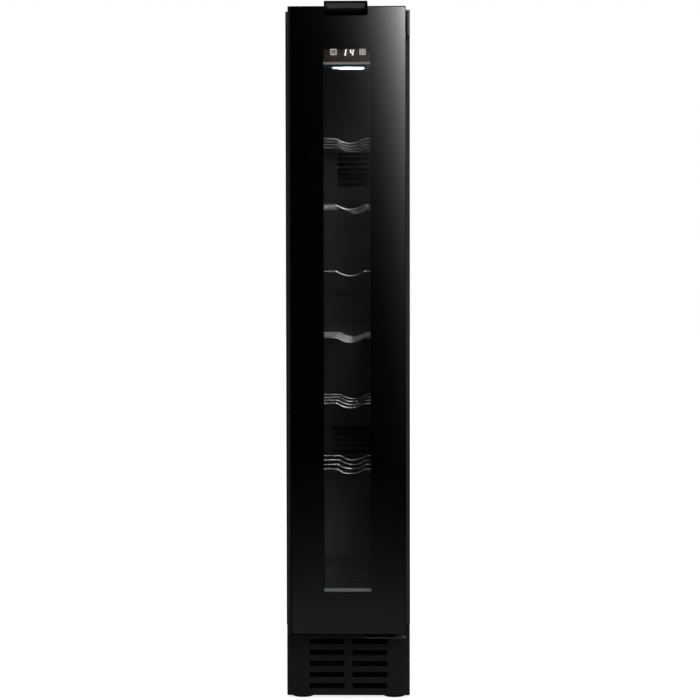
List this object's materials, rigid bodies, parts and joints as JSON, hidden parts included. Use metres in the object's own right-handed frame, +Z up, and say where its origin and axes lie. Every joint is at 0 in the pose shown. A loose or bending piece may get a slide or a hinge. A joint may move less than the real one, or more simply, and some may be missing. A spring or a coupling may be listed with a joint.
{
  "type": "wine cooler",
  "caption": "Slim built-under wine cooler: black glass door with a narrow window and top tab handle, lit control head, wire bottle cradles, slotted base with the cooling unit.",
  "frame": {"origin": "centre of the bounding box's footprint, on the floor under the feet", "axes": "+Z up, -Y the front (door), +X to the right seen from the front"},
  "size_m": [0.148, 0.545, 0.825],
  "materials": {
    "black_steel": "satin",
    "galvanised_steel": "galvanised",
    "zinc_steel": "zinc plated",
    "foam": "rigid foam",
    "liner_plastic": "satin",
    "fin_aluminium": "mill",
    "black_plastic": "satin",
    "grille_plastic": "satin",
    "white_plastic": "satin",
    "smoked_lens": "tinted",
    "circuit_board": "solder mask",
    "display_light": "lit",
    "key_light": "lit",
    "lamp_light": "lit diffuser",
    "silver_trim": "silver",
    "compressor_paint": "gloss",
    "rubber": "matte",
    "copper": "drawn",
    "door_glass": "clear",
    "black_print": "enamel print",
    "door_plastic": "satin",
    "spacer_aluminium": "black anodised",
    "inner_glass": "clear",
    "gasket": "soft",
    "handle_gloss": "gloss",
    "rack_chrome": "dark chrome",
    "foot_plastic": "satin"
  },
  "bodies": {
    "cabinet": {"side_panel_left": "black_steel", "side_panel_right": "black_steel", "top_panel": "black_steel", "rear_panel": "galvanised_steel", "bottom_panel": "galvanised_steel", "front_frame": "black_steel", "insulation_foam": "foam", "inner_liner": "liner_plastic", "duct_cover": "liner_plastic", "evaporator": "fin_aluminium", "evaporator_fan_frame": "black_plastic", "temperature_sensor": "white_plastic", "control_box": "black_plastic", "control_lens": "smoked_lens", "control_board": "circuit_board", "display_digits": "display_light", "touch_keys": "key_light", "panel_trim": "silver_trim", "lamp_board": "black_plastic", "lamp_cover": "lamp_light", "base_tray": "black_steel", "front_grille": "grille_plastic", "compressor": "compressor_paint", "compressor_grommets": "rubber", "compressor_bolts": "zinc_steel", "relay_cover": "black_plastic", "drain_pan": "black_plastic", "drain_tube": "white_plastic", "condenser": "black_steel", "condenser_fan_frame": "black_plastic", "filter_drier": "copper", "discharge_tube": "copper", "suction_tube": "copper", "capillary_tube": "copper", "rear_cover": "black_steel", "power_inlet": "black_plastic", "top_hinge_bracket": "zinc_steel", "lower_hinge_bracket": "black_steel", "hinge_screws": "zinc_steel", "top_hinge_cover": "black_plastic"},
    "door": {"door_glass": "door_glass", "glass_print": "black_print", "door_frame": "door_plastic", "glass_spacer": "spacer_aluminium", "inner_glass": "inner_glass", "door_gasket": "gasket", "door_handle": "handle_gloss", "hinge_bushes": "white_plastic"},
    "evaporator_fan": {"evaporator_impeller": "black_plastic"},
    "condenser_fan": {"condenser_impeller": "black_plastic"},
    "rack_1": {"rack_1": "rack_chrome"},
    "rack_2": {"rack_2": "rack_chrome"},
    "rack_3": {"rack_3": "rack_chrome"},
    "rack_4": {"rack_4": "rack_chrome"},
    "rack_5": {"rack_5": "rack_chrome"},
    "rack_6": {"rack_6": "rack_chrome"},
    "foot_front_left": {"foot_front_left": "foot_plastic"},
    "foot_front_right": {"foot_front_right": "foot_plastic"},
    "foot_rear_left": {"foot_rear_left": "foot_plastic"},
    "foot_rear_right": {"foot_rear_right": "foot_plastic"}
  },
  "joints": [
    {"name": "door_hinge", "type": "hinge", "parent": "cabinet", "child": "door", "pos_m": [0.06, -0.2385, 0.45], "axis": [0, 0, 1], "range_deg": [0, 110]},
    {"name": "evaporator_fan_spin", "type": "hinge", "parent": "cabinet", "child": "evaporator_fan", "pos_m": [0, 0.2, 0.65], "axis": [0, 1, 0], "continuous": true},
    {"name": "condenser_fan_spin", "type": "hinge", "parent": "cabinet", "child": "condenser_fan", "pos_m": [0, -0.085, 0.044], "axis": [0, 1, 0], "continuous": true},
    {"name": "rack_1_slide", "type": "slide", "parent": "cabinet", "child": "rack_1", "axis": [0, -1, 0], "range_m": [0, 0.1]},
    {"name": "rack_2_slide", "type": "slide", "parent": "cabinet", "child": "rack_2", "axis": [0, -1, 0], "range_m": [0, 0.1]},
    {"name": "rack_3_slide", "type": "slide", "parent": "cabinet", "child": "rack_3", "axis": [0, -1, 0], "range_m": [0, 0.1]},
    {"name": "rack_4_slide", "type": "slide", "parent": "cabinet", "child": "rack_4", "axis": [0, -1, 0], "range_m": [0, 0.1]},
    {"name": "rack_5_slide", "type": "slide", "parent": "cabinet", "child": "rack_5", "axis": [0, -1, 0], "range_m": [0, 0.1]},
    {"name": "rack_6_slide", "type": "slide", "parent": "cabinet", "child": "rack_6", "axis": [0, -1, 0], "range_m": [0, 0.1]},
    {"name": "foot_front_left_height", "type": "slide", "parent": "cabinet", "child": "foot_front_left", "axis": [0, 0, -1], "range_m": [0, 0.05]},
    {"name": "foot_front_right_height", "type": "slide", "parent": "cabinet", "child": "foot_front_right", "axis": [0, 0, -1], "range_m": [0, 0.05]},
    {"name": "foot_rear_left_height", "type": "slide", "parent": "cabinet", "child": "foot_rear_left", "axis": [0, 0, -1], "range_m": [0, 0.05]},
    {"name": "foot_rear_right_height", "type": "slide", "parent": "cabinet", "child": "foot_rear_right", "axis": [0, 0, -1], "range_m": [0, 0.05]}
  ]
}
